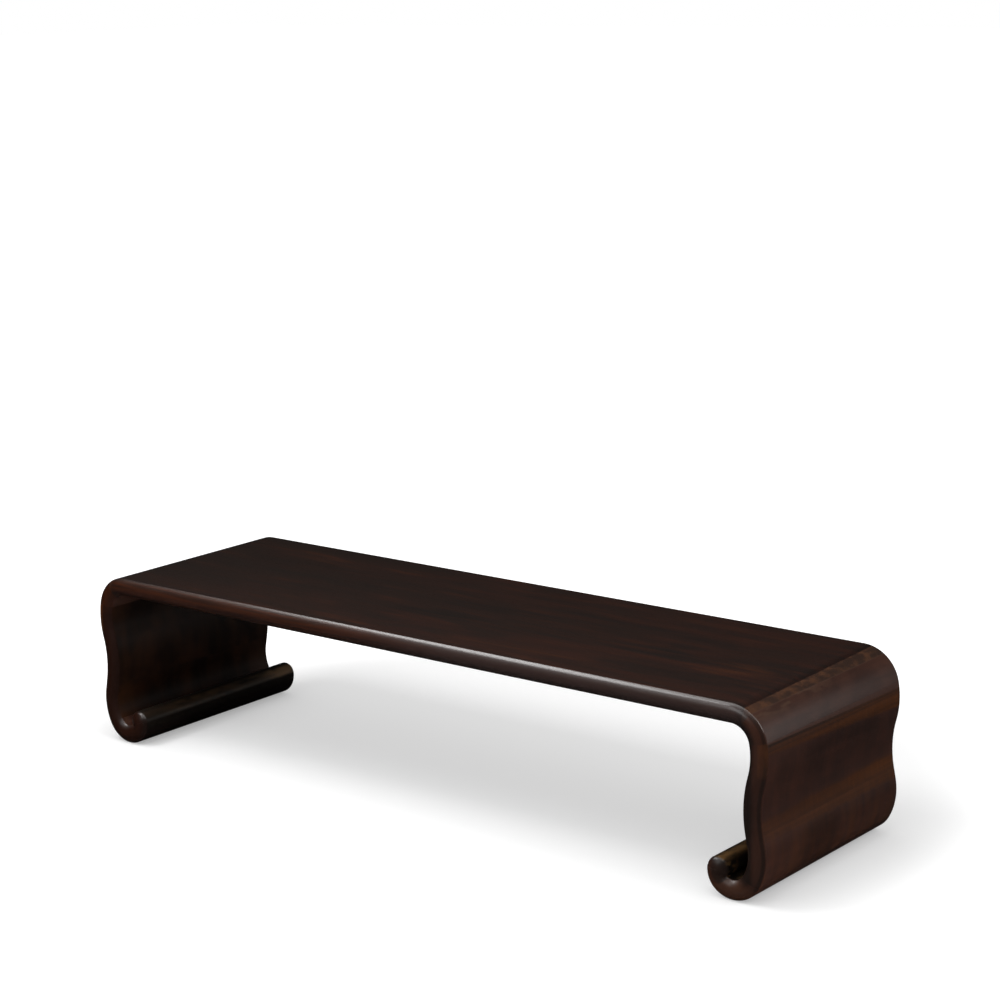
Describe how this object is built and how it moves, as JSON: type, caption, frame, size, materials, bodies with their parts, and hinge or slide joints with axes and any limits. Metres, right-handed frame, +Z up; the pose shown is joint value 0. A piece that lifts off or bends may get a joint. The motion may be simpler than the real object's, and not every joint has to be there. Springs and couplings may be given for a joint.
{
  "type": "qin table",
  "caption": "Low wooden table whose slab top turns down at both ends into curved legs with scrolled feet.",
  "frame": {"origin": "on the floor, under the middle of the table", "axes": "+X along the length, to the right seen from the front; +Y to the rear; +Z up"},
  "size_m": [1.2, 0.34, 0.259],
  "materials": {
    "top_wood": "satin lacquer",
    "bend_wood": "satin lacquer",
    "leg_wood": "satin lacquer",
    "foot_wood": "satin lacquer",
    "tenon_wood": "bare",
    "bamboo": "bare"
  },
  "bodies": {
    "root": {"top_front_board": "top_wood", "top_middle_board": "top_wood", "top_rear_board": "top_wood", "front_seam_pegs": "bamboo", "rear_seam_pegs": "bamboo", "left_bend_stave": "bend_wood", "left_waist_board": "leg_wood", "left_belly_board": "leg_wood", "left_foot_block": "foot_wood", "left_lock_pegs": "bamboo", "left_bend_tenons": "tenon_wood", "left_waist_tenons": "tenon_wood", "left_foot_tenons": "tenon_wood", "right_bend_stave": "bend_wood", "right_waist_board": "leg_wood", "right_belly_board": "leg_wood", "right_foot_block": "foot_wood", "right_lock_pegs": "bamboo", "right_bend_tenons": "tenon_wood", "right_waist_tenons": "tenon_wood", "right_foot_tenons": "tenon_wood"}
  },
  "joints": []
}
